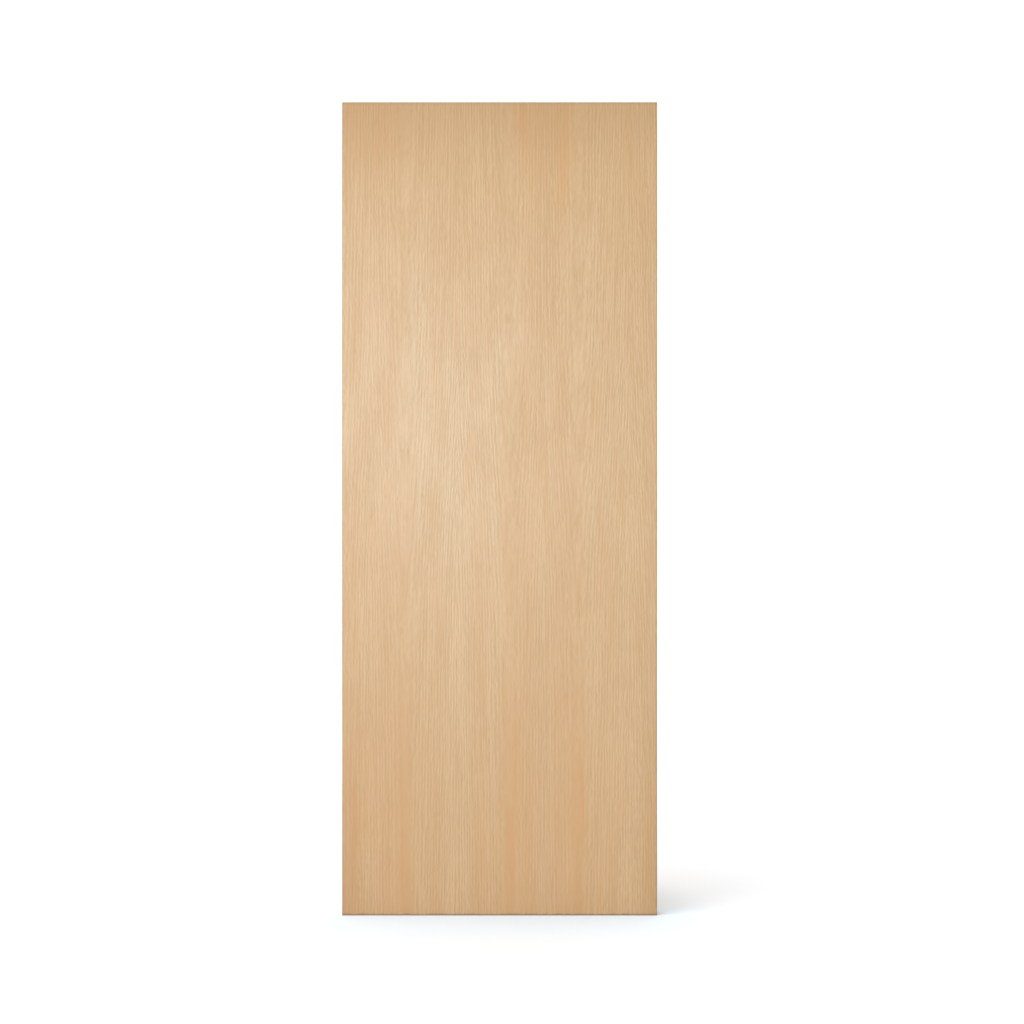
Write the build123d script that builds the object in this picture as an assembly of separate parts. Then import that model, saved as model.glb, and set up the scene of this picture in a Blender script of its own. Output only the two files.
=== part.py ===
from build123d import *
import os

# Solid core flush door, as it is glued up, trimmed and sanded, before any hardware is fitted.
#
# A core panel is framed by two stiles and two rails, and a crossband covers each side of that
# framed core. A solid band closes each long edge, over the crossbands' edges too. Each face is
# then laid with book-matched leaves of veneer. Trimming rounds the upright arrises through
# veneer and band together, and sanding takes the sharp rim off both saw-cut ends, where every
# ply shows.
#
# Millimetres. +Z is up and +X is to the right of someone who looks at the front face, which
# looks towards -Y. The origin is the middle of the bottom edge.

# Finished door
DOOR_WIDTH = 787.4
DOOR_HEIGHT = 2032.0
DOOR_THICKNESS = 44.45
ARRIS_RADIUS = 1.5
SANDED_RIM = 0.4

# Plies that cover each side of the framed core
VENEER_THICKNESS = 0.6
CROSSBAND_THICKNESS = 3.2

# Members around the core
EDGE_BAND_WIDTH = 9.5
STILE_WIDTH = 28.6
RAIL_HEIGHT = 38.1

# Veneer lay-up: the whole leaves stand about the middle of the face, moved to the right by the
# shift, and a trimmed leaf fills each side
WHOLE_LEAVES = 3
VENEER_LEAF_WIDTH = 216.0
LAY_UP_SHIFT = 2.3

# Half widths and half thicknesses that follow, from the door inwards
DOOR_SIDE = DOOR_WIDTH / 2
CROSSBAND_SIDE = DOOR_SIDE - EDGE_BAND_WIDTH
CORE_SIDE = CROSSBAND_SIDE - STILE_WIDTH
DOOR_FACE = DOOR_THICKNESS / 2
CROSSBAND_FACE = DOOR_FACE - VENEER_THICKNESS
CORE_FACE = CROSSBAND_FACE - CROSSBAND_THICKNESS


def trimmed_door():
    """The whole door's outside, trimmed and sanded."""
    plan = RectangleRounded(DOOR_WIDTH, DOOR_THICKNESS, ARRIS_RADIUS)
    slab = extrude(plan, DOOR_HEIGHT)
    rims = slab.faces().filter_by(Axis.Z).edges()
    return chamfer(rims, SANDED_RIM)


def member(outside, across, through, bottom=0.0, top=DOOR_HEIGHT):
    """A straight piece between two places across the door and two through it, cut to its outside."""
    (left, right), (front, back) = across, through
    middle = Pos((left + right) / 2, (front + back) / 2, bottom)
    blank = extrude(middle * Rectangle(right - left, back - front), top - bottom)
    return blank & outside


def veneer_spans():
    """Where each veneer leaf of the front face begins and ends, from the left edge."""
    first = LAY_UP_SHIFT - WHOLE_LEAVES * VENEER_LEAF_WIDTH / 2
    joints = [first + number * VENEER_LEAF_WIDTH for number in range(WHOLE_LEAVES + 1)]
    return zip([-DOOR_SIDE, *joints], [*joints, DOOR_SIDE])


def framed_core(outside):
    """The core panel with its rails, which stand between the stiles."""
    across = (-CORE_SIDE, CORE_SIDE)
    through = (-CORE_FACE, CORE_FACE)
    rail_top, rail_bottom = RAIL_HEIGHT, DOOR_HEIGHT - RAIL_HEIGHT
    return {
        "bottom_rail": member(outside, across, through, top=rail_top),
        "core": member(outside, across, through, rail_top, rail_bottom),
        "top_rail": member(outside, across, through, bottom=rail_bottom),
    }


def left_edge(outside):
    """The stile, and the band that closes the edge from veneer to veneer."""
    stile = member(outside, (-CROSSBAND_SIDE, -CORE_SIDE), (-CORE_FACE, CORE_FACE))
    band = member(outside, (-DOOR_SIDE, -CROSSBAND_SIDE), (-CROSSBAND_FACE, CROSSBAND_FACE))
    return {"stile": stile, "edge_band": band}


def front_face(outside):
    """The crossband, and the veneer leaves that cover it and both edge bands."""
    across = (-CROSSBAND_SIDE, CROSSBAND_SIDE)
    plies = {"crossband": member(outside, across, (-CROSSBAND_FACE, -CORE_FACE))}
    for number, span in enumerate(veneer_spans(), start=1):
        plies[f"veneer_leaf_{number}"] = member(outside, span, (-DOOR_FACE, -CROSSBAND_FACE))
    return plies


def door():
    """Every piece by its name. Turned half way round, the door is the same door again."""
    outside = trimmed_door()
    half_turn = Rot(0, 0, 180)
    pieces = framed_core(outside)
    for name, piece in left_edge(outside).items():
        pieces[f"left_{name}"] = piece
        pieces[f"right_{name}"] = half_turn * piece
    for name, piece in front_face(outside).items():
        pieces[f"front_{name}"] = piece
        pieces[f"back_{name}"] = half_turn * piece
    return pieces


os.makedirs("parts", exist_ok=True)
for node, shape in door().items():
    export_step(shape, f"parts/{node}.step")
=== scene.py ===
"""Looks of a solid core flush door with book-matched blond veneer faces.

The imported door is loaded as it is, and every piece of it is dressed: the veneer leaves as
successive slices of one flitch, the edge bands as solid wood of the same kind, and the stiles,
rails, crossbands and core as the sheet goods and timber that show on the sawn ends.
"""

import logging
import math
from collections.abc import Iterable
from dataclasses import dataclass, field
from enum import Enum
from typing import ClassVar

import bpy
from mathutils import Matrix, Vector


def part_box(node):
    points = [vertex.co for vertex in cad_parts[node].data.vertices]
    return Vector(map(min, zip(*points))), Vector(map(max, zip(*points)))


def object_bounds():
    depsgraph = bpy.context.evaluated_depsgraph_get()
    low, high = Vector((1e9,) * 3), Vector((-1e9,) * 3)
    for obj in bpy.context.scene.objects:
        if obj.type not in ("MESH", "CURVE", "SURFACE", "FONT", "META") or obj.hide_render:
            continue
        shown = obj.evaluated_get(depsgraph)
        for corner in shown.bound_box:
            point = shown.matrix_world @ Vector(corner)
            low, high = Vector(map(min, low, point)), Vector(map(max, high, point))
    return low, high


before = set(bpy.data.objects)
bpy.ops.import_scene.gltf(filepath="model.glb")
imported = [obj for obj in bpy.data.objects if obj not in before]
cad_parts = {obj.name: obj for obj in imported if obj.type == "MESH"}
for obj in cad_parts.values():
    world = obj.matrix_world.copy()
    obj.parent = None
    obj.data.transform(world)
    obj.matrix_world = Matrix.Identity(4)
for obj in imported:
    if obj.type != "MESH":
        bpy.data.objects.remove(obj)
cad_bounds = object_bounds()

log = logging.getLogger("door")

Socket = bpy.types.NodeSocket
Value = Socket | float | tuple[float, ...]
Sockets = dict[str, Socket]
Pair = tuple[float, float]
Triple = tuple[float, float, float]
Colour = tuple[float, float, float, float]

MM = 0.001
WHITE: Colour = (1.0, 1.0, 1.0, 1.0)
NOISE_MIDDLE = 0.5
# How far out an outer side is taken to be, so that no glue line shows along it.
FAR = 1.0


class Kind(Enum):
    """What a socket of a node group carries."""

    NUMBER = "NodeSocketFloat"
    VECTOR = "NodeSocketVector"
    COLOUR = "NodeSocketColor"


class Face(Enum):
    """A face of the door, as the node names spell it."""

    FRONT = "front"
    BACK = "back"


class Side(Enum):
    """A long edge of the door, as the node names spell it and as it is seen from the front."""

    LEFT = "left"
    RIGHT = "right"


def numbers(*names: str) -> dict[str, Kind]:
    """Declares sockets that each carry a number."""
    return dict.fromkeys(names, Kind.NUMBER)


def colours(*names: str) -> dict[str, Kind]:
    """Declares sockets that each carry a colour."""
    return dict.fromkeys(names, Kind.COLOUR)


def srgb(red: float, green: float, blue: float) -> Colour:
    """Turns a colour as it is seen on a screen into the linear one that shaders take.

    Args:
        red: Red from 0 to 255.
        green: Green from 0 to 255.
        blue: Blue from 0 to 255.

    Returns:
        The linear colour with full alpha.
    """
    seen = [channel / 255 for channel in (red, green, blue)]
    linear = [s / 12.92 if s <= 0.04045 else ((s + 0.055) / 1.055) ** 2.4 for s in seen]
    return (*linear, 1.0)


class Graph:
    """Writes nodes into one shader tree, so that a material reads as a list of steps."""

    def __init__(self, tree: bpy.types.NodeTree) -> None:
        """Starts on an emptied tree."""
        self.tree = tree
        tree.nodes.clear()

    def feed(self, socket: Socket, value: Value) -> None:
        """Links a socket to another one, or sets it to a plain value.

        Args:
            socket: The input to feed.
            value: The output to link, or the value to set.
        """
        if isinstance(value, bpy.types.NodeSocket):
            self.tree.links.new(value, socket)
        else:
            socket.default_value = value

    def node(
        self, kind: str, inputs: dict[str | int, Value] | None = None, **settings: object
    ) -> bpy.types.Node:
        """Adds a node.

        Args:
            kind: The node's bpy type name.
            inputs: Values or sockets for its inputs, by name or index.
            **settings: Properties of the node.

        Returns:
            The new node.
        """
        made = self.tree.nodes.new(kind)
        for name, value in settings.items():
            setattr(made, name, value)
        for name, value in (inputs or {}).items():
            self.feed(made.inputs[name], value)
        return made

    def math(self, operation: str, *values: Value) -> Socket:
        """Adds a Math node of one to three numbers or sockets, and gives its result."""
        return self.node("ShaderNodeMath", dict(enumerate(values)), operation=operation).outputs[0]

    def times(self, first: Value, second: Value) -> Socket:
        """Multiplies two numbers."""
        return self.math("MULTIPLY", first, second)

    def vector(self, operation: str, *values: Value) -> Socket:
        """Adds a Vector Math node that gives a vector."""
        inputs = dict(enumerate(values))
        return self.node("ShaderNodeVectorMath", inputs, operation=operation).outputs[0]

    def split(self, vector: Value) -> tuple[Socket, Socket, Socket]:
        """Gives a vector's X, Y and Z."""
        outputs = self.node("ShaderNodeSeparateXYZ", {0: vector}).outputs
        return outputs[0], outputs[1], outputs[2]

    def join(self, x: Value, y: Value, z: Value) -> Socket:
        """Makes a vector of three numbers."""
        return self.node("ShaderNodeCombineXYZ", {0: x, 1: y, 2: z}).outputs[0]

    def reach(self, across: Value, through: Value) -> Socket:
        """Gives the length of the slanting side of a right triangle."""
        squares = [self.times(leg, leg) for leg in (across, through)]
        return self.math("SQRT", self.math("ADD", *squares))

    def ease(
        self, value: Value, start: Value, end: Value, low: Value = 0.0, high: Value = 1.0
    ) -> Socket:
        """Rises smoothly from low to high while a value goes from start to end."""
        inputs = {0: value, 1: start, 2: end, 3: low, 4: high}
        return self.node("ShaderNodeMapRange", inputs, interpolation_type="SMOOTHSTEP").outputs[0]

    def fade(self, value: Value, start: Value, end: Value) -> Socket:
        """Falls smoothly from 1 to 0 while a value goes from start to end."""
        return self.ease(value, start, end, 1.0, 0.0)

    def noise(
        self, place: Value, scale: Triple, detail: float = 0.0, share: float = 0.5
    ) -> Socket:
        """Adds smooth noise whose grains have a length of their own along each axis.

        Args:
            place: Where the noise is read.
            scale: Grains to a metre along X, Y and Z.
            detail: How many finer octaves are added.
            share: How strong each octave is beside the one before it.

        Returns:
            A number about NOISE_MIDDLE.
        """
        scaled = self.vector("MULTIPLY", place, scale)
        inputs = {"Vector": scaled, "Scale": 1.0, "Detail": detail, "Roughness": share}
        return self.node("ShaderNodeTexNoise", inputs).outputs["Fac"]

    def sway(self, place: Value, scale: Triple, detail: float = 0.0) -> Socket:
        """Adds the same smooth noise, but about zero."""
        return self.math("SUBTRACT", self.noise(place, scale, detail), NOISE_MIDDLE)

    def mix(self, share: Value, first: Value, second: Value) -> Socket:
        """Mixes a share of the second colour into the first one."""
        inputs = {0: share, 6: first, 7: second}
        return self.node("ShaderNodeMix", inputs, data_type="RGBA").outputs[2]

    def place(self) -> Socket:
        """Gives the shaded point in the door's own frame, in metres."""
        return self.node("ShaderNodeTexCoord").outputs["Object"]


class Effect:
    """A shader effect that is drawn once as a node group and placed in many materials.

    A constant of three numbers is a noise: its grains to a metre along X, Y and Z.
    """

    name: ClassVar[str]
    takes: ClassVar[dict[str, Kind]]
    gives: ClassVar[dict[str, Kind]]

    def draw(self, graph: Graph, takes: Sockets) -> dict[str, Value]:
        """Draws the group's nodes, and gives what each output is linked to."""
        raise NotImplementedError

    def group(self) -> bpy.types.NodeTree:
        """Gives the node group, and draws it the first time.

        Returns:
            The group.
        """
        found = bpy.data.node_groups.get(self.name)
        if found:
            return found
        tree = bpy.data.node_groups.new(self.name, "ShaderNodeTree")
        for name, kind in self.takes.items():
            tree.interface.new_socket(name=name, in_out="INPUT", socket_type=kind.value)
        for name, kind in self.gives.items():
            tree.interface.new_socket(name=name, in_out="OUTPUT", socket_type=kind.value)
        graph = Graph(tree)
        inputs = graph.node("NodeGroupInput").outputs
        takes = {socket.name: socket for socket in inputs if socket.name}
        graph.node("NodeGroupOutput", self.draw(graph, takes))
        return tree

    def put(self, graph: Graph, inputs: dict[str, Value]) -> Sockets:
        """Places the effect in a material with its own values.

        Args:
            graph: The material's graph.
            inputs: A value or a socket for each input of the group.

        Returns:
            The group's outputs by name.
        """
        node = graph.node("ShaderNodeGroup", node_tree=self.group(), label=self.name)
        for name, value in inputs.items():
            graph.feed(node.inputs[name], value)
        return {socket.name: socket for socket in node.outputs}


class TimberFigure(Effect):
    """Growth rings about a pith that lies along Z, with the streaks, fibres and pores of the wood.

    Rings narrow towards the top of the stem, so a flat slice shows cathedrals that point down.
    """

    name = "Timber figure"
    takes = {"Place": Kind.VECTOR, **numbers("Drift", "Ring Width", "Taper", "Wander")}
    gives = numbers("Late Wood", "Streak", "Fibre", "Pores")

    SLOW_WANDER: ClassVar[Triple] = (7.0, 7.0, 2.2)
    QUICK_WANDER: ClassVar[Triple] = (25.0, 25.0, 18.0)
    QUICK_SHARE: ClassVar[float] = 0.2
    CRIMP: ClassVar[Triple] = (60.0, 60.0, 50.0)
    CRIMP_REACH: ClassVar[float] = 1.0 * MM
    SLANT: ClassVar[float] = 7.0
    STREAKS: ClassVar[Triple] = (34.0, 1.0, 2.4)
    LINES: ClassVar[Triple] = (520.0, 1.0, 6.0)
    FIBRES: ClassVar[Triple] = (290.0, 290.0, 7.0)
    FINE_SHARE: ClassVar[float] = 0.6
    DASHES: ClassVar[Triple] = (260.0, 260.0, 85.0)
    PORES: ClassVar[Triple] = (1900.0, 1900.0, 60.0)
    OPEN_PORES: ClassVar[Pair] = (0.56, 0.7)
    LATE_PORES: ClassVar[float] = 0.25
    # How far through a ring its late wood comes and goes, and its pores get fewer.
    RING_RISE: ClassVar[Pair] = (0.35, 0.88)
    RING_DROP: ClassVar[Pair] = (0.9, 1.0)
    PORE_DROP: ClassVar[Pair] = (0.3, 0.7)
    FAINTEST_RING: ClassVar[float] = 0.25
    # Where the cut is steep to the rings, their contrast goes from calm to full.
    STEEP: ClassVar[Pair] = (0.1, 0.6)
    CALM: ClassVar[float] = 0.35

    def draw(self, graph: Graph, takes: Sockets) -> dict[str, Value]:
        """Draws the group's nodes.

        Args:
            graph: The group's graph.
            takes: The group's inputs by name.

        Returns:
            What each output is linked to.
        """
        place = takes["Place"]
        x, y, z = graph.split(place)
        slow = graph.sway(place, self.SLOW_WANDER)
        quick = graph.sway(place, self.QUICK_WANDER, detail=1.0)
        wander = graph.math("MULTIPLY_ADD", quick, self.QUICK_SHARE, slow)
        pith = graph.reach(x, y)
        cone = graph.math("SUBTRACT", pith, graph.times(z, takes["Taper"]))
        reach = graph.math("MULTIPLY_ADD", wander, takes["Wander"], cone)
        crimp = graph.times(graph.sway(place, self.CRIMP), self.CRIMP_REACH)
        rings = graph.math("DIVIDE", reach, takes["Ring Width"])
        part = graph.math("FRACT", rings)
        number = graph.math("FLOOR", rings)
        own = graph.node("ShaderNodeTexWhiteNoise", {"W": number}, noise_dimensions="1D").outputs[0]
        strong = graph.ease(own, 0.0, 1.0, self.FAINTEST_RING, 1.0)
        steep = graph.math("DIVIDE", graph.math("ABSOLUTE", x), pith)
        calm = graph.ease(steep, *self.STEEP, self.CALM, 1.0)
        rise = graph.ease(part, *self.RING_RISE)
        shape = graph.times(rise, graph.fade(part, *self.RING_DROP))
        slanted = graph.math("MULTIPLY_ADD", graph.math("ADD", x, y), self.SLANT, z)
        drifted = graph.math("ADD", slanted, takes["Drift"])
        broad_place = graph.join(reach, takes["Drift"], slanted)
        streaks = graph.noise(broad_place, self.STREAKS, detail=1.0, share=self.FINE_SHARE)
        bent_place = graph.join(graph.math("ADD", reach, crimp), takes["Drift"], drifted)
        lines = graph.sway(bent_place, self.LINES)
        swayed = graph.math("MULTIPLY_ADD", wander, takes["Wander"], graph.math("ADD", x, crimp))
        swayed_place = graph.join(swayed, y, drifted)
        fibres = graph.noise(swayed_place, self.FIBRES, detail=1.0, share=self.FINE_SHARE)
        dashes = graph.sway(swayed_place, self.DASHES)
        pores = graph.ease(graph.noise(place, self.PORES), *self.OPEN_PORES)
        early = graph.ease(part, *self.PORE_DROP, 1.0, self.LATE_PORES)
        return {
            "Late Wood": graph.times(shape, graph.times(calm, strong)),
            "Streak": graph.math("MULTIPLY_ADD", lines, calm, streaks),
            "Fibre": graph.math("ADD", dashes, fibres),
            "Pores": graph.times(pores, early),
        }


class VesselRows(Effect):
    """The fine rows of vessels of a leaf: upright pinstripes that close to points half way up."""

    name = "Vessel rows"
    takes = {"Place": Kind.VECTOR, **numbers("Drift")}
    gives = numbers("Rows")

    PITCH: ClassVar[float] = 6.5 * MM
    BEND: ClassVar[float] = 30 * MM
    LEAN: ClassVar[float] = 0.006
    CLOSING: ClassVar[Pair] = (0.70, 1.55)
    CLOSING_REACH: ClassVar[float] = 24 * MM
    SHIFTS: ClassVar[Triple] = (70.0, 1.0, 8.0)
    SHIFT_REACH: ClassVar[float] = 0.9
    CRIMP: ClassVar[Triple] = (70.0, 1.0, 60.0)
    CRIMP_REACH: ClassVar[float] = 2.0 * MM
    PATCHES: ClassVar[Triple] = (60.0, 1.0, 45.0)
    PATCH_EDGES: ClassVar[Pair] = (0.36, 0.64)
    PATCH_SHARES: ClassVar[Pair] = (0.15, 1.4)
    CALM: ClassVar[Pair] = (6 * MM, 42 * MM)
    CALM_SHARE: ClassVar[float] = 0.4

    def draw(self, graph: Graph, takes: Sockets) -> dict[str, Value]:
        """Draws the group's nodes.

        Args:
            graph: The group's graph.
            takes: The group's inputs by name.

        Returns:
            What each output is linked to.
        """
        x, _, z = graph.split(takes["Place"])
        place = graph.join(x, takes["Drift"], z)
        closing = graph.ease(z, *self.CLOSING, 0.0, self.CLOSING_REACH)
        lean = graph.math("MULTIPLY_ADD", z, self.LEAN, closing)
        crimp = graph.times(graph.noise(place, self.CRIMP), self.CRIMP_REACH)
        across = graph.math("ADD", graph.math("SUBTRACT", graph.reach(x, self.BEND), lean), crimp)
        shift = graph.times(graph.noise(place, self.SHIFTS, detail=1.0), self.SHIFT_REACH)
        number = graph.math("MULTIPLY_ADD", across, 1 / self.PITCH, shift)
        rows = graph.math("SINE", graph.times(number, math.tau))
        clouds = graph.noise(place, self.PATCHES, detail=1.0)
        patches = graph.ease(clouds, *self.PATCH_EDGES, *self.PATCH_SHARES)
        calm = graph.ease(graph.math("ABSOLUTE", x), *self.CALM, self.CALM_SHARE, 1.0)
        return {"Rows": graph.times(rows, graph.times(patches, calm))}


class GrainColour(Effect):
    """Lays the parts of a timber's figure over each other as colour and as height."""

    name = "Grain colour"
    takes = {
        **colours("Pale", "Dark", "Pore"),
        **numbers("Late Wood", "Streak", "Fibre", "Pores", "Rows"),
        **numbers("Ring Share", "Streak Share", "Fibre Share", "Pore Share"),
    }
    gives = {**colours("Color"), **numbers("Height")}

    MIDDLE: ClassVar[float] = 0.42
    FIBRE_RELIEF: ClassVar[float] = 0.3
    RING_RELIEF: ClassVar[float] = 0.2

    def draw(self, graph: Graph, takes: Sockets) -> dict[str, Value]:
        """Draws the group's nodes.

        Args:
            graph: The group's graph.
            takes: The group's inputs by name.

        Returns:
            What each output is linked to.
        """
        ring = graph.math("MULTIPLY_ADD", takes["Late Wood"], takes["Ring Share"], self.MIDDLE)
        share = graph.math("ADD", ring, takes["Rows"])
        for name in ("Streak", "Fibre"):
            part = graph.math("SUBTRACT", takes[name], NOISE_MIDDLE)
            share = graph.math("MULTIPLY_ADD", part, takes[f"{name} Share"], share)
        clamped = graph.node("ShaderNodeClamp", {0: share}).outputs[0]
        body = graph.mix(clamped, takes["Pale"], takes["Dark"])
        pore = graph.times(takes["Pores"], takes["Pore Share"])
        rings = graph.times(takes["Late Wood"], self.RING_RELIEF)
        relief = graph.math("MULTIPLY_ADD", takes["Fibre"], self.FIBRE_RELIEF, rings)
        return {
            "Color": graph.mix(pore, body, takes["Pore"]),
            "Height": graph.math("SUBTRACT", relief, takes["Pores"]),
        }


class FlitchPlace(Effect):
    """Takes a point of the door to its place in the flitch that a veneer leaf was sliced from."""

    name = "Flitch place"
    takes = {"Place": Kind.VECTOR, **numbers("Axis", "Hand", "Depth")}
    gives = {"Place": Kind.VECTOR}

    def draw(self, graph: Graph, takes: Sockets) -> dict[str, Value]:
        """Draws the group's nodes.

        Args:
            graph: The group's graph.
            takes: The group's inputs by name.

        Returns:
            What each output is linked to.
        """
        x, _, z = graph.split(takes["Place"])
        across = graph.times(graph.math("SUBTRACT", x, takes["Axis"]), takes["Hand"])
        return {"Place": graph.join(across, takes["Depth"], z)}


# A band's foot or head past the door's own, and a reach that covers all of a leaf.
BELOW = -1.0
ABOVE = 3.0
EVERYWHERE = 1.0


@dataclass(frozen=True)
class ToneBand:
    """A band of a leaf that is lighter or darker, or warmer or cooler, than the rest.

    Most bands are the flitch's own tone; the one at the top of the door is painted shade.

    Attributes:
        middle: Its middle across the leaf, from the cathedrals' axis towards the short side.
        reach: Half its width.
        foot: The height that it starts at.
        head: The height that it ends at.
        light: The change of its brightness.
        warmth: The change of how much of the warm colour is mixed in.
        fade: Half the height over which it comes and goes.
    """

    middle: float
    reach: float
    foot: float
    head: float
    light: float
    warmth: float
    fade: float = 0.14


class FlitchToneAndTopShade(Effect):
    """The slow changes of tone across a leaf: pale sapwood at one side, a warm heart streak.

    The last band is painted shade, darker and warmer towards the top of the door.
    """

    name = "Flitch tone and top shade"
    takes = {"Place": Kind.VECTOR, **numbers("Drift")}
    gives = numbers("Light", "Warmth")

    FLUSHES: ClassVar[Triple] = (45.0, 1.0, 3.5)
    FLUSH_EDGES: ClassVar[Pair] = (0.55, 0.8)
    FLUSH_WARMTH: ClassVar[float] = 0.3
    MOTTLE: ClassVar[Triple] = (16.0, 16.0, 3.0)
    MOTTLE_LIGHT: ClassVar[float] = 0.05
    MOTTLE_WARMTH: ClassVar[float] = -0.20
    EVEN_WARMTH: ClassVar[float] = 0.2
    BANDS: ClassVar[tuple[ToneBand, ...]] = (
        ToneBand(-0.118, 0.026, BELOW, 1.45, 0.018, -0.18),
        ToneBand(-0.044, 0.014, BELOW, ABOVE, 0.008, -0.10),
        ToneBand(0.004, 0.022, BELOW, 0.55, -0.007, 0.18),
        ToneBand(0.004, 0.022, BELOW, 1.08, -0.006, 0.11),
        ToneBand(-0.014, 0.018, 1.28, 1.70, 0.008, -0.13),
        ToneBand(0.044, 0.018, BELOW, 1.48, -0.012, 0.16),
        ToneBand(0.082, 0.014, BELOW, 0.36, 0.015, -0.10),
        ToneBand(0.050, 0.045, 1.86, ABOVE, -0.01, 0.24),
        ToneBand(0.0, EVERYWHERE, 0.94, 1.66, -0.003, -0.06),
        ToneBand(0.0, EVERYWHERE, BELOW, 0.58, -0.006, 0.16, fade=0.3),
        # Painted shade: darker and warmer towards the top of the door, where the light falls off.
        ToneBand(0.0, EVERYWHERE, 1.95, ABOVE, -0.14, 0.26, fade=0.16),
    )

    def draw(self, graph: Graph, takes: Sockets) -> dict[str, Value]:
        """Draws the group's nodes.

        Args:
            graph: The group's graph.
            takes: The group's inputs by name.

        Returns:
            What each output is linked to.
        """
        x, _, z = graph.split(takes["Place"])
        mottle = graph.sway(takes["Place"], self.MOTTLE, detail=2.0)
        light = graph.math("MULTIPLY_ADD", mottle, self.MOTTLE_LIGHT, 1.0)
        clouds = graph.noise(graph.join(x, takes["Drift"], z), self.FLUSHES, detail=1.0)
        flush = graph.ease(clouds, *self.FLUSH_EDGES)
        flushed = graph.math("MULTIPLY_ADD", flush, self.FLUSH_WARMTH, self.EVEN_WARMTH)
        warmth = graph.math("MULTIPLY_ADD", mottle, self.MOTTLE_WARMTH, flushed)
        for band in self.BANDS:
            off = graph.math("DIVIDE", graph.math("SUBTRACT", x, band.middle), band.reach)
            square = graph.times(off, off)
            across = graph.math("EXPONENT", graph.times(square, -1.0))
            above = graph.ease(z, band.foot - band.fade, band.foot + band.fade)
            below = graph.fade(z, band.head - band.fade, band.head + band.fade)
            mask = graph.times(across, graph.times(above, below))
            light = graph.math("MULTIPLY_ADD", mask, band.light, light)
            warmth = graph.math("MULTIPLY_ADD", mask, band.warmth, warmth)
        return {"Light": light, "Warmth": graph.math("MAXIMUM", warmth, 0.0)}


class CoatPatches(Effect):
    """The cloudy unevenness of a rolled-on topcoat: fuller here, thinner there."""

    name = "Coat patches"
    takes = {"Place": Kind.VECTOR, **numbers("Coat", "Roughness")}
    gives = numbers("Coat", "Roughness")

    CLOUDS: ClassVar[Triple] = (13.0, 13.0, 6.0)
    CLOUD_EDGES: ClassVar[Pair] = (0.35, 0.65)
    THIN: ClassVar[float] = 0.8
    FULL: ClassVar[float] = 1.2
    FLATTING: ClassVar[float] = 0.012

    def draw(self, graph: Graph, takes: Sockets) -> dict[str, Value]:
        """Draws the group's nodes.

        Args:
            graph: The group's graph.
            takes: The group's inputs by name.

        Returns:
            What each output is linked to.
        """
        clouds = graph.noise(takes["Place"], self.CLOUDS, detail=2.0)
        share = graph.ease(clouds, *self.CLOUD_EDGES, self.THIN, self.FULL)
        flatter = graph.ease(clouds, *self.CLOUD_EDGES, self.FLATTING, -self.FLATTING)
        return {
            "Coat": graph.times(takes["Coat"], share),
            "Roughness": graph.math("ADD", takes["Roughness"], flatter),
        }


class RimShadeAndWear(Effect):
    """Painted shade on the rim, a painted contact shadow at the foot, and wear at the sides.

    The rim shade is most at the door's right edge, which is turned from the key light, and low
    down.
    """

    name = "Rim shade and wear"
    takes = {"Place": Kind.VECTOR, **numbers("Half Width", "Height", "Rim", "Wear", "Foot Shadow")}
    gives = numbers("Rim", "Wear", "Foot Shadow")

    BLOTCHES: ClassVar[Triple] = (60.0, 60.0, 60.0)
    BLOTCH_EDGES: ClassVar[Pair] = (0.2, 0.8)
    BLOTCH_SHARES: ClassVar[Pair] = (0.7, 1.3)
    # From the left half of the door to the right half, and what changes between them: the
    # height that the low wear and the low rim shade reach, and how much of the painted rim
    # shade shows, most on the right, which is turned from the key light.
    HALVES: ClassVar[Pair] = (-0.2, 0.2)
    HIGH: ClassVar[Pair] = (0.5, 1.0)
    SIDE_SHARES: ClassVar[Pair] = (0.28, 0.6)
    LOW: ClassVar[float] = 0.05
    LOW_SHARE: ClassVar[float] = 0.35
    UPPER_WEAR: ClassVar[float] = 0.12
    TOP_WIDTH: ClassVar[float] = 10 * MM
    TOP_SHARE: ClassVar[float] = 0.35

    def draw(self, graph: Graph, takes: Sockets) -> dict[str, Value]:
        """Draws the group's nodes.

        Args:
            graph: The group's graph.
            takes: The group's inputs by name.

        Returns:
            What each output is linked to.
        """
        x, _, z = graph.split(takes["Place"])
        side = graph.math("SUBTRACT", takes["Half Width"], graph.math("ABSOLUTE", x))
        head = graph.math("SUBTRACT", takes["Height"], z)
        inside = graph.math("MINIMUM", side, graph.math("MINIMUM", head, z))
        blotches = graph.noise(takes["Place"], self.BLOTCHES, detail=2.0)
        uneven = graph.ease(blotches, *self.BLOTCH_EDGES, *self.BLOTCH_SHARES)
        rim, wear, foot = (graph.times(takes[name], uneven) for name in self.gives)
        low = graph.fade(z, self.LOW, graph.ease(x, *self.HALVES, *self.HIGH))
        side_shade = graph.ease(x, *self.HALVES, *self.SIDE_SHARES)
        rim_shade = graph.math("MULTIPLY_ADD", low, self.LOW_SHARE, side_shade)
        worn = graph.math("MAXIMUM", low, self.UPPER_WEAR)
        # Painted shade along the rim, strongest on the right half and low down.
        edge = graph.times(graph.fade(inside, 0.0, rim), rim_shade)
        # Painted shade on the top arris.
        top = graph.ease(head, 0.0, self.TOP_WIDTH, self.TOP_SHARE, 0.0)
        return {
            "Rim": graph.math("MAXIMUM", edge, top),
            "Wear": graph.times(graph.fade(side, 0.0, wear), worn),
            # Painted contact shadow where the door meets the floor.
            "Foot Shadow": graph.fade(z, 0.0, foot),
        }


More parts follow.
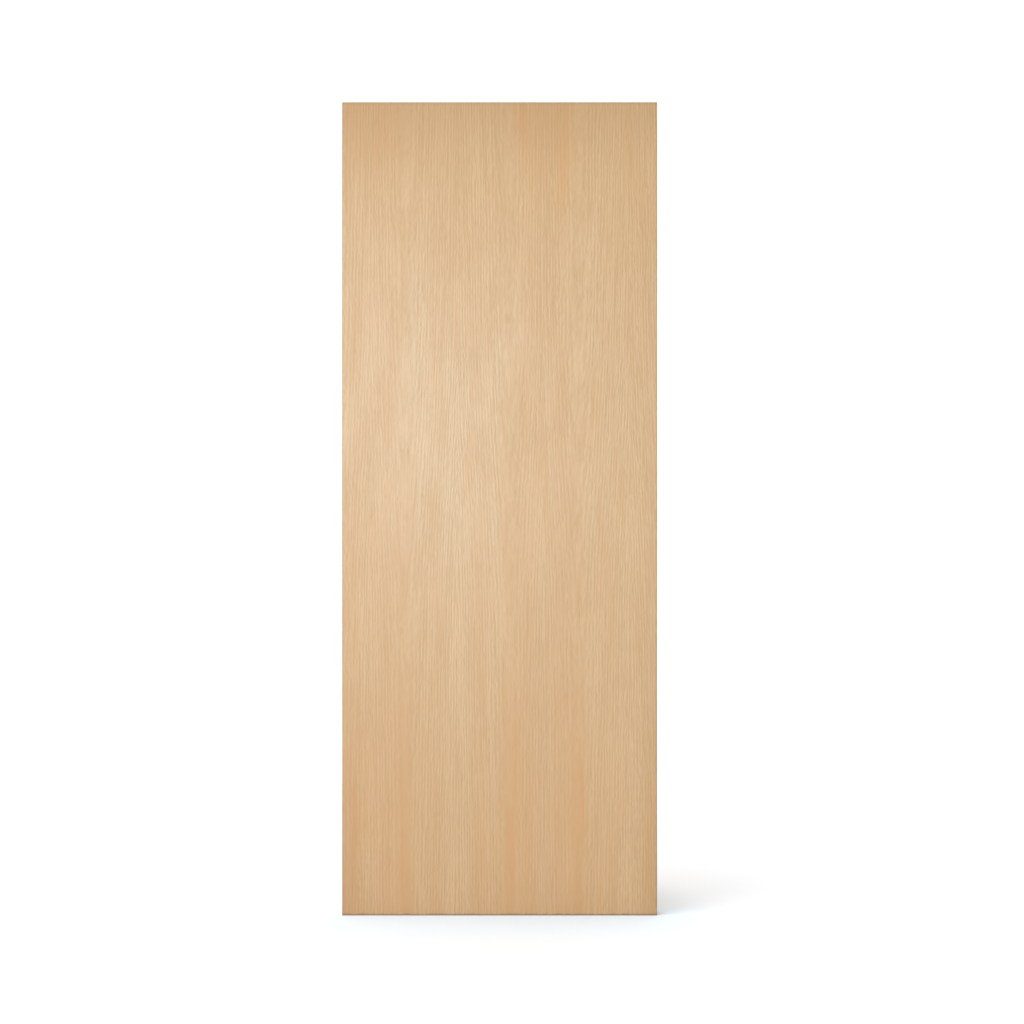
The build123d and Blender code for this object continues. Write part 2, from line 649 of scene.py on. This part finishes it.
class SawnEnd(Effect):
    """Finds the saw-cut ends, and draws the arcs that the blade left across them."""

    name = "Sawn end"
    takes = {"Place": Kind.VECTOR}
    gives = numbers("End", "Marks")

    BLADE_RADIUS: ClassVar[float] = 150 * MM
    TOOTH_PITCH: ClassVar[float] = 1.7 * MM
    SKIPS: ClassVar[Triple] = (40.0, 40.0, 0.0)
    # How upright a side's direction is where it starts to be an end, and where it is one.
    UPRIGHT: ClassVar[Pair] = (0.6, 0.8)

    def draw(self, graph: Graph, takes: Sockets) -> dict[str, Value]:
        """Draws the group's nodes.

        Args:
            graph: The group's graph.
            takes: The group's inputs by name.

        Returns:
            What each output is linked to.
        """
        normal = graph.node("ShaderNodeNewGeometry").outputs["True Normal"]
        upright = graph.math("ABSOLUTE", graph.split(normal)[2])
        x, y, _ = graph.split(takes["Place"])
        bow = graph.math("DIVIDE", graph.times(y, y), 2 * self.BLADE_RADIUS)
        skips = graph.noise(takes["Place"], self.SKIPS, detail=1.0)
        travel = graph.math("MULTIPLY_ADD", skips, 2 * self.TOOTH_PITCH, graph.math("ADD", x, bow))
        wave = graph.math("SINE", graph.times(travel, math.tau / self.TOOTH_PITCH))
        marks = graph.times(graph.math("MULTIPLY_ADD", wave, 0.5, 0.5), skips)
        end = graph.ease(upright, *self.UPRIGHT)
        return {"End": end, "Marks": graph.times(marks, end)}


class GlueLine(Effect):
    """The hairline of glue along a piece's sides, where it shows on a sawn end."""

    name = "Glue line"
    takes = {"Place": Kind.VECTOR, "Middle": Kind.VECTOR, "Half": Kind.VECTOR, **numbers("End")}
    gives = numbers("Line")

    WIDTH: ClassVar[float] = 0.16 * MM

    def draw(self, graph: Graph, takes: Sockets) -> dict[str, Value]:
        """Draws the group's nodes.

        Args:
            graph: The group's graph.
            takes: The group's inputs by name.

        Returns:
            What each output is linked to.
        """
        off = graph.vector("ABSOLUTE", graph.vector("SUBTRACT", takes["Place"], takes["Middle"]))
        x, y, _ = graph.split(graph.vector("SUBTRACT", takes["Half"], off))
        line = graph.fade(graph.math("MINIMUM", x, y), 0.0, self.WIDTH)
        return {"Line": graph.times(line, takes["End"])}


class Chips(Effect):
    """Chips or strands pressed into a sheet: each has its own colour, and gaps between them."""

    name = "Chips"
    takes = {"Place": Kind.VECTOR, "Size": Kind.VECTOR, **colours("Pale", "Dark", "Gap")}
    gives = {**colours("Color"), **numbers("Height")}

    # Measured in chips: how fine their edges' bends are, and how wide the gaps.
    BENDS: ClassVar[float] = 0.8
    GAP_WIDTH: ClassVar[float] = 0.09
    GAP_SHARE: ClassVar[float] = 0.7

    def draw(self, graph: Graph, takes: Sockets) -> dict[str, Value]:
        """Draws the group's nodes.

        Args:
            graph: The group's graph.
            takes: The group's inputs by name.

        Returns:
            What each output is linked to.
        """
        cells = graph.vector("DIVIDE", takes["Place"], takes["Size"])
        bends = {"Vector": cells, "Scale": self.BENDS, "Detail": 1.0}
        off = graph.node("ShaderNodeTexNoise", bends).outputs["Color"]
        bent = {"Vector": graph.vector("ADD", cells, off), "Scale": 1.0}
        chip = graph.node("ShaderNodeTexVoronoi", bent)
        own = graph.split(chip.outputs["Color"])[0]
        edge = graph.node("ShaderNodeTexVoronoi", bent, feature="DISTANCE_TO_EDGE")
        gap = graph.fade(edge.outputs["Distance"], 0.0, self.GAP_WIDTH)
        body = graph.mix(own, takes["Pale"], takes["Dark"])
        return {
            "Color": graph.mix(graph.times(gap, self.GAP_SHARE), body, takes["Gap"]),
            "Height": graph.math("SUBTRACT", own, gap),
        }


FIGURE = TimberFigure()
GRAIN = GrainColour()
ROWS = VesselRows()
FLITCH = FlitchPlace()
TONE = FlitchToneAndTopShade()
CLOUDS = CoatPatches()
# Painted rim shade, painted foot shadow, and wear near the long edges.
RIM = RimShadeAndWear()
SAWN = SawnEnd()
GLUE = GlueLine()
CHIPS = Chips()


@dataclass(frozen=True)
class Surface:
    """The plain properties of a finish: the same all over the surface."""

    roughness: float = 0.6
    coat: float = 0.0
    coat_roughness: float = 0.4
    relief: float = 0.02 * MM

    def shade(
        self, graph: Graph, colour: Value, height: Value,
        roughness: Value | None = None, coat: Value | None = None,
    ) -> None:
        """Ends a material with its shader.

        Args:
            graph: The material's graph.
            colour: The base colour.
            height: The relief's height, where 1 is the finish's own relief.
            roughness: A roughness that changes over the surface, if there is one.
            coat: A coat weight that changes over the surface, if there is one.
        """
        bumps = {"Strength": 1.0, "Distance": self.relief, "Height": height}
        shader = graph.node("ShaderNodeBsdfPrincipled", {
            "Base Color": colour,
            "Roughness": self.roughness if roughness is None else roughness,
            "Coat Weight": self.coat if coat is None else coat,
            "Coat Roughness": self.coat_roughness,
            "Normal": graph.node("ShaderNodeBump", bumps).outputs[0],
        })
        graph.node("ShaderNodeOutputMaterial", {"Surface": shader.outputs[0]})


SATIN = Surface(roughness=0.36, coat=0.4, coat_roughness=0.3, relief=0.03 * MM)
RAW = Surface(roughness=0.75, relief=0.08 * MM)
BOARD = Surface(roughness=0.7, relief=0.03 * MM)


def new_material(name: str) -> tuple[bpy.types.Material, Graph]:
    """Makes an empty node material.

    Args:
        name: The material's name.

    Returns:
        The material and its graph.
    """
    material = bpy.data.materials.new(name)
    material.use_nodes = True
    return material, Graph(material.node_tree)


def glue_line(graph: Graph, node: str, end: Socket) -> Socket:
    """Places the glue line for a node, but not on a side that is the door's outside.

    Args:
        graph: The material's graph.
        node: The CAD node's name.
        end: The mask of the sawn ends.

    Returns:
        The glue line's mask.
    """
    low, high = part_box(node)
    outer_low, outer_high = cad_bounds
    low = [l - FAR if math.isclose(l, o, abs_tol=MM) else l for l, o in zip(low, outer_low)]
    high = [h + FAR if math.isclose(h, o, abs_tol=MM) else h for h, o in zip(high, outer_high)]
    middle = tuple((l + h) / 2 for l, h in zip(low, high))
    half = tuple((h - l) / 2 for l, h in zip(low, high))
    inputs = {"Place": graph.place(), "Middle": middle, "Half": half, "End": end}
    return GLUE.put(graph, inputs)["Line"]


@dataclass(frozen=True)
class VeneerFinish:
    """One leaf of blond veneer, sanded, sealed and given a satin topcoat.

    Attributes:
        node: The CAD node it dresses.
        axis: The X of its cathedrals' axis.
        hand: 1 where the flitch's short side is towards +X, else -1.
        slice: Which slice of the flitch it is.
    """

    node: str
    axis: float
    hand: int
    slice: int

    PALE: ClassVar[Colour] = srgb(220, 189, 145)
    DARK: ClassVar[Colour] = srgb(205, 168, 121)
    PORE: ClassVar[Colour] = srgb(150, 108, 70)
    WARM: ClassVar[Colour] = srgb(215, 165, 111)
    END: ClassVar[Colour] = srgb(176, 136, 94)
    # Painted shade along the rim, strongest at the right edge, which is turned from the key light.
    RIM: ClassVar[Colour] = srgb(158, 131, 104)
    WORN: ClassVar[Colour] = srgb(168, 112, 62)
    # Painted contact shadow at the foot, where the door meets the floor.
    FOOT_SHADOW: ClassVar[Colour] = srgb(108, 89, 70)
    GLUE: ClassVar[Colour] = srgb(120, 86, 54)
    RING_WIDTH: ClassVar[float] = 5.0 * MM
    TAPER: ClassVar[float] = 0.0288
    WANDER: ClassVar[float] = 14 * MM
    PITH_DISTANCE: ClassVar[float] = 60 * MM
    LEAF_THICKNESS: ClassVar[float] = 0.6 * MM
    SLICE_DRIFT: ClassVar[float] = 0.43
    SHARES: ClassVar[dict[str, float]] = {
        "Ring Share": 0.5, "Streak Share": 0.8, "Fibre Share": 1.2, "Pore Share": 0.22,
    }
    ROW_SHARE: ClassVar[float] = 0.38
    ROW_SHADE: ClassVar[float] = -0.012
    PORE_ROUGHNESS: ClassVar[float] = 0.2
    WEAR_WIDTH: ClassVar[float] = 80 * MM
    WEAR_SHARE: ClassVar[float] = 0.22
    # Width and share of the painted rim shade, then height and share of the painted foot shadow.
    RIM_WIDTH: ClassVar[float] = 5.5 * MM
    RIM_SHARE: ClassVar[float] = 0.75
    FOOT_HEIGHT: ClassVar[float] = 7.5 * MM
    FOOT_SHARE: ClassVar[float] = 0.55

    def material(self) -> bpy.types.Material:
        """Makes the leaf's material.

        Returns:
            The material.
        """
        material, graph = new_material(f"veneer {self.node}")
        place = graph.place()
        depth = self.PITH_DISTANCE + self.slice * self.LEAF_THICKNESS
        flitch = FLITCH.put(graph, {
            "Place": place, "Axis": self.axis, "Hand": self.hand, "Depth": depth,
        })["Place"]
        drift = self.slice * self.SLICE_DRIFT
        figure = FIGURE.put(graph, {
            "Place": flitch, "Drift": drift,
            "Ring Width": self.RING_WIDTH, "Taper": self.TAPER, "Wander": self.WANDER,
        })
        rows = ROWS.put(graph, {"Place": flitch, "Drift": drift})["Rows"]
        grain = GRAIN.put(graph, {
            "Pale": self.PALE, "Dark": self.DARK, "Pore": self.PORE, **figure,
            "Rows": graph.times(rows, self.ROW_SHARE), **self.SHARES,
        })
        # The flitch's tone, with painted shade towards the top of the door.
        tone = TONE.put(graph, {"Place": flitch, "Drift": drift})
        warmed = graph.mix(tone["Warmth"], grain["Color"], self.WARM)
        light = graph.math("MULTIPLY_ADD", rows, self.ROW_SHADE, tone["Light"])
        lit = graph.vector("MULTIPLY", warmed, light)
        sawn = SAWN.put(graph, {"Place": place})
        # Painted rim shade and painted foot shadow, with wear near the long edges.
        rim = RIM.put(graph, {
            "Place": place, "Half Width": cad_bounds[1].x, "Height": cad_bounds[1].z,
            "Rim": self.RIM_WIDTH, "Wear": self.WEAR_WIDTH, "Foot Shadow": self.FOOT_HEIGHT,
        })
        worn = graph.mix(graph.times(rim["Wear"], self.WEAR_SHARE), lit, self.WORN)
        rim_shaded = graph.mix(graph.times(rim["Rim"], self.RIM_SHARE), worn, self.RIM)
        foot_shadowed = graph.mix(graph.times(rim["Foot Shadow"], self.FOOT_SHARE), rim_shaded, self.FOOT_SHADOW)
        ended = graph.mix(sawn["End"], foot_shadowed, self.END)
        glued = graph.mix(glue_line(graph, self.node, sawn["End"]), ended, self.GLUE)
        rough = graph.math("MULTIPLY_ADD", figure["Pores"], self.PORE_ROUGHNESS, SATIN.roughness)
        coat = CLOUDS.put(graph, {"Place": place, "Coat": SATIN.coat, "Roughness": rough})
        SATIN.shade(graph, glued, grain["Height"], coat["Roughness"], coat["Coat"])
        return material


@dataclass(frozen=True)
class TimberFinish:
    """Solid wood, sawn from a place in the log: its figure runs through the piece.

    Attributes:
        node: The CAD node it dresses.
        pith: The pith's place across and through, measured from the piece's middle.
        level: Whether its fibres lie along X instead of standing along Z.
        pale: Its early wood.
        dark: Its late wood.
        ring_width: The width of a ring.
        ring_share: How much the rings show.
        fibre_share: How much the fibres show.
        surface: Its plain properties.
    """

    node: str
    pith: Pair
    level: bool
    pale: Colour
    dark: Colour
    ring_width: float
    ring_share: float
    fibre_share: float
    surface: Surface

    PORE: ClassVar[Colour] = srgb(140, 98, 60)
    GLUE: ClassVar[Colour] = srgb(112, 80, 50)
    TAPER: ClassVar[float] = 0.008
    WANDER: ClassVar[float] = 6 * MM
    SHARES: ClassVar[dict[str, float]] = {"Streak Share": 0.6, "Pore Share": 0.3}
    END_DARKENING: ClassVar[float] = 0.22
    MARK_DARKENING: ClassVar[float] = 0.16

    def material(self) -> bpy.types.Material:
        """Makes the piece's material.

        Returns:
            The material.
        """
        material, graph = new_material(f"timber {self.node}")
        place = graph.place()
        low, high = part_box(self.node)
        middle = (low + high) / 2
        x, y, z = graph.split(place)
        across, along = (z, x) if self.level else (x, z)
        start = middle.z if self.level else middle.x
        log_place = graph.join(
            graph.math("ADD", across, self.pith[0] - start),
            graph.math("ADD", y, self.pith[1] - middle.y),
            along,
        )
        figure = FIGURE.put(graph, {
            "Place": log_place, "Drift": self.pith[0] / MM,
            "Ring Width": self.ring_width, "Taper": self.TAPER, "Wander": self.WANDER,
        })
        grain = GRAIN.put(graph, {
            "Pale": self.pale, "Dark": self.dark, "Pore": self.PORE, **figure,
            "Ring Share": self.ring_share, "Fibre Share": self.fibre_share, **self.SHARES,
        })
        sawn = SAWN.put(graph, {"Place": place})
        dark = graph.math("MULTIPLY_ADD", sawn["Marks"], self.MARK_DARKENING, self.END_DARKENING)
        ended = graph.mix(graph.times(sawn["End"], dark), grain["Color"], self.PORE)
        glued = graph.mix(glue_line(graph, self.node, sawn["End"]), ended, self.GLUE)
        self.surface.shade(graph, glued, graph.math("ADD", grain["Height"], sawn["Marks"]))
        return material


@dataclass(frozen=True)
class PressedFinish:
    """A sheet or beam pressed from chips, strands or fibres.

    Attributes:
        node: The CAD node it dresses.
        chip: The size of a chip along X, Y and Z.
        pale: The palest chips.
        dark: The darkest chips.
        gap: The glue and voids between them.
        surface: Its plain properties.
    """

    node: str
    chip: Triple
    pale: Colour
    dark: Colour
    gap: Colour
    surface: Surface

    FINES: ClassVar[Triple] = (1400.0, 1400.0, 1400.0)
    FINE_EDGES: ClassVar[Pair] = (0.35, 0.75)
    FINE_SHARE: ClassVar[float] = 0.35
    MARK_SHARE: ClassVar[float] = 0.2

    def material(self) -> bpy.types.Material:
        """Makes the piece's material.

        Returns:
            The material.
        """
        material, graph = new_material(f"pressed {self.node}")
        place = graph.place()
        chips = CHIPS.put(graph, {
            "Place": place, "Size": self.chip,
            "Pale": self.pale, "Dark": self.dark, "Gap": self.gap,
        })
        fines = graph.ease(graph.noise(place, self.FINES, detail=1.0), *self.FINE_EDGES)
        flecked = graph.mix(graph.times(fines, self.FINE_SHARE), chips["Color"], self.dark)
        sawn = SAWN.put(graph, {"Place": place})
        marked = graph.mix(graph.times(sawn["Marks"], self.MARK_SHARE), flecked, self.gap)
        glued = graph.mix(glue_line(graph, self.node, sawn["End"]), marked, self.gap)
        self.surface.shade(graph, glued, graph.math("ADD", chips["Height"], sawn["Marks"]))
        return material


def dress(node: str, material: bpy.types.Material) -> None:
    """Gives a CAD node its material.

    Args:
        node: The node's name.
        material: The material for all of it.
    """
    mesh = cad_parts[node].data
    mesh.materials.clear()
    mesh.materials.append(material)
    log.info("dressed %s with %s", node, material.name)


@dataclass
class VeneerFace:
    """A face of the door: successive leaves of a flitch, each turned over beside the last.

    Attributes:
        face: Which face it is.
        first_slice: The number of its first slice.
        short_side: From the cathedrals' axis to the nearer long edge of a whole leaf.
    """

    face: Face
    first_slice: int
    short_side: float = 86 * MM
    leaves: int = field(init=False)

    FIRST_WHOLE: ClassVar[int] = 2

    def __post_init__(self) -> None:
        """Counts the leaves of this face in the frame."""
        self.leaves = sum(node.startswith(self.stem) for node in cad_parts)

    @property
    def stem(self) -> str:
        """What the names of its leaves start with."""
        return f"{self.face.value}_veneer_leaf_"

    def finishes(self) -> Iterable[VeneerFinish]:
        """Works out where each leaf lies in the flitch.

        Yields:
            The finish of each leaf, from the left as the face is looked at.
        """
        turn = 1 if self.face is Face.FRONT else -1
        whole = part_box(f"{self.stem}{self.FIRST_WHOLE}")
        width = whole[1].x - whole[0].x
        left_joint = min(turn * whole[0].x, turn * whole[1].x)
        for number in range(1, self.leaves + 1):
            left = left_joint + (number - self.FIRST_WHOLE) * width
            turned_over = number % 2 == 0
            axis = left + (self.short_side if turned_over else width - self.short_side)
            hand = -1 if turned_over else 1
            slice_number = self.first_slice + number
            yield VeneerFinish(f"{self.stem}{number}", turn * axis, turn * hand, slice_number)

    def build(self) -> None:
        """Dresses every leaf of the face."""
        for finish in self.finishes():
            dress(finish.node, finish.material())


@dataclass
class EdgeBands:
    """The solid bands on the long edges, of the same wood as the faces."""

    ring_width: float = 3.4 * MM
    ring_share: float = 0.3
    fibre_share: float = 1.4
    left_pith: Pair = (55 * MM, 41 * MM)
    right_pith: Pair = (-62 * MM, 34 * MM)

    def build(self) -> None:
        """Dresses both bands, each sawn from another place in the log."""
        for side, pith in ((Side.LEFT, self.left_pith), (Side.RIGHT, self.right_pith)):
            node = f"{side.value}_edge_band"
            finish = TimberFinish(
                node, pith, level=False, pale=srgb(221, 185, 138), dark=srgb(204, 162, 113),
                ring_width=self.ring_width, ring_share=self.ring_share,
                fibre_share=self.fibre_share, surface=SATIN,
            )
            dress(node, finish.material())


@dataclass
class FramedCore:
    """The particleboard core with its strand lumber stiles and softwood rails."""

    ring_width: float = 4.2 * MM
    ring_share: float = 0.5
    fibre_share: float = 0.4
    top_pith: Pair = (70 * MM, 50 * MM)
    bottom_pith: Pair = (-60 * MM, 45 * MM)
    strand: Triple = (11 * MM, 1.3 * MM, 160 * MM)
    chip: Triple = (7 * MM, 1.6 * MM, 6 * MM)

    def build(self) -> None:
        """Dresses the rails, the stiles and the core."""
        for node, pith in (("top_rail", self.top_pith), ("bottom_rail", self.bottom_pith)):
            finish = TimberFinish(
                node, pith, level=True, pale=srgb(222, 190, 142), dark=srgb(176, 124, 74),
                ring_width=self.ring_width, ring_share=self.ring_share,
                fibre_share=self.fibre_share, surface=RAW,
            )
            dress(node, finish.material())
        for side in Side:
            node = f"{side.value}_stile"
            finish = PressedFinish(
                node, self.strand, srgb(206, 168, 118), srgb(164, 118, 72), srgb(92, 62, 38), RAW)
            dress(node, finish.material())
        finish = PressedFinish(
            "core", self.chip, srgb(202, 166, 118), srgb(142, 100, 62), srgb(96, 68, 44), RAW)
        dress("core", finish.material())


@dataclass
class Crossbands:
    """The fibreboard sheets between the core and the veneers."""

    fibre: Triple = (0.9 * MM, 0.35 * MM, 0.9 * MM)

    def build(self) -> None:
        """Dresses both sheets."""
        for face in Face:
            node = f"{face.value}_crossband"
            finish = PressedFinish(
                node, self.fibre, srgb(142, 108, 76), srgb(116, 84, 56), srgb(88, 62, 42), BOARD)
            dress(node, finish.material())


@dataclass
class Studio:
    """A pale floor without an end, a soft key light, an overhead light and the camera.

    The white that the camera sees lights nothing. No piece of the door is metal or glass, so no
    reflection has to show it either.
    """

    # How strongly the world lights the door from before it and from behind it.
    lit_before: float = 0.35
    lit_behind: float = 1.09
    lit_fade: Pair = (-0.5, 0.5)
    floor_radius: float = 40.0
    floor_corners: int = 96
    floor_colour: Colour = (0.806, 0.82, 0.831, 1.0)
    # The light that the camera sees on the floor: its strength by the distance from the door.
    near: Pair = (0.42, 0.62)
    near_lift: Pair = (0.084, 0.152)
    far: Pair = (1.2, 3.0)
    far_lift: float = 0.372
    # That light's colour in the door's shadow, before and behind it, and where along Y each
    # comes in. It makes up for the warm light that the door throws there.
    before_tint: Colour = (0.25, 1.0, 1.65, 1.0)
    before_fade: Pair = (-0.46, -0.12)
    behind_tint: Colour = (0.78, 1.0, 1.08, 1.0)
    behind_fade: Pair = (-0.04, 0.10)
    key_place: Triple = (-0.59, -5.0, 1.45)
    key_size: float = 1.5
    key_power: float = 53.0
    overhead_place: Triple = (-1.79, -1.53, 7.82)
    overhead_size: float = 3.44
    overhead_power: float = 358.0
    lens: float = 70.0
    sensor_width: float = 36.0
    camera_distance: float = 4.975
    camera_offset: float = 0.0309
    camera_height: float = 1.0081

    def floor(self) -> None:
        """Builds the round floor, which shows white with only the door's own shadow on it."""
        turns = [math.tau * i / self.floor_corners for i in range(self.floor_corners)]
        radius = self.floor_radius
        ring = [(radius * math.cos(turn), radius * math.sin(turn), 0.0) for turn in turns]
        mesh = bpy.data.meshes.new("studio_floor")
        mesh.from_pydata(ring, [], [tuple(range(self.floor_corners))])
        floor = bpy.data.objects.new("studio_floor", mesh)
        bpy.context.collection.objects.link(floor)
        mesh.materials.append(self.floor_material())
        log.info("laid the floor")

    def floor_material(self) -> bpy.types.Material:
        """Makes the floor's paint, with a little light of its own that the camera alone sees.

        Returns:
            The material.
        """
        material, graph = new_material("studio floor")
        place = graph.place()
        length = graph.node("ShaderNodeVectorMath", {0: place}, operation="LENGTH")
        distance = length.outputs["Value"]
        near = graph.ease(distance, *self.near, *self.near_lift)
        lift = graph.math("ADD", near, graph.ease(distance, *self.far, 0.0, self.far_lift))
        _, back, _ = graph.split(place)
        front = graph.mix(graph.ease(back, *self.before_fade), WHITE, self.before_tint)
        shadow = graph.mix(graph.ease(back, *self.behind_fade), front, self.behind_tint)
        tint = graph.mix(graph.ease(distance, *self.near), shadow, WHITE)
        seen = graph.node("ShaderNodeLightPath").outputs["Is Camera Ray"]
        strength = graph.times(lift, seen)
        glow = graph.node("ShaderNodeEmission", {"Color": tint, "Strength": strength})
        paint = graph.node("ShaderNodeBsdfDiffuse", {"Color": self.floor_colour})
        both = graph.node("ShaderNodeAddShader", {0: paint.outputs[0], 1: glow.outputs[0]})
        graph.node("ShaderNodeOutputMaterial", {"Surface": both.outputs[0]})
        return material

    def world(self) -> None:
        """Lights the door softly from all round, and shows white behind it."""
        world = bpy.data.worlds.new("studio")
        world.use_nodes = True
        graph = Graph(world.node_tree)
        _, behind, _ = graph.split(graph.node("ShaderNodeTexCoord").outputs["Generated"])
        soft = graph.ease(behind, *self.lit_fade, self.lit_before, self.lit_behind)
        seen = graph.node("ShaderNodeLightPath").outputs["Is Camera Ray"]
        strength = graph.math("MAXIMUM", seen, soft)
        white = graph.node("ShaderNodeBackground", {"Color": WHITE, "Strength": strength})
        graph.node("ShaderNodeOutputWorld", {"Surface": white.outputs[0]})
        bpy.context.scene.world = world

    def lamp(self, name: str, place: Triple, size: float, power: float, aim: Vector) -> None:
        """Hangs a square soft light.

        Args:
            name: The lamp's name.
            place: Where it hangs.
            size: Its side.
            power: Its power in watts.
            aim: The point that it faces.
        """
        light = bpy.data.lights.new(name, "AREA")
        light.shape = "SQUARE"
        light.size = size
        light.energy = power
        lamp = bpy.data.objects.new(name, light)
        lamp.location = place
        lamp.rotation_euler = (aim - Vector(place)).to_track_quat("-Z", "Y").to_euler()
        lamp.visible_camera = False
        bpy.context.collection.objects.link(lamp)
        log.info("hung %s", name)

    def camera(self) -> None:
        """Sets up the camera square to the front face, a little right of its middle."""
        camera = bpy.data.cameras.new("camera")
        camera.lens = self.lens
        camera.sensor_width = self.sensor_width
        stand = bpy.data.objects.new("camera", camera)
        front = cad_bounds[0].y
        stand.location = (self.camera_offset, front - self.camera_distance, self.camera_height)
        stand.rotation_euler = (math.radians(90), 0.0, 0.0)
        bpy.context.collection.objects.link(stand)
        bpy.context.scene.camera = stand

    def build(self) -> None:
        """Sets up the floor, the lights and the camera."""
        foot = Vector((0.0, 0.0, 0.0))
        middle = Vector((0.0, 0.0, cad_bounds[1].z / 2))
        self.floor()
        self.world()
        self.lamp("key", self.key_place, self.key_size, self.key_power, middle)
        self.lamp("overhead", self.overhead_place, self.overhead_size, self.overhead_power, foot)
        self.camera()
        bpy.context.scene.view_settings.view_transform = "Standard"


def main() -> None:
    """Builds the studio and dresses the door, from the core outwards."""
    logging.basicConfig(level=logging.INFO, format="%(message)s")
    Studio().build()
    FramedCore().build()
    Crossbands().build()
    EdgeBands().build()
    front = VeneerFace(Face.FRONT, first_slice=0)
    front.build()
    VeneerFace(Face.BACK, first_slice=front.leaves).build()


if __name__ == "__main__":
    main()
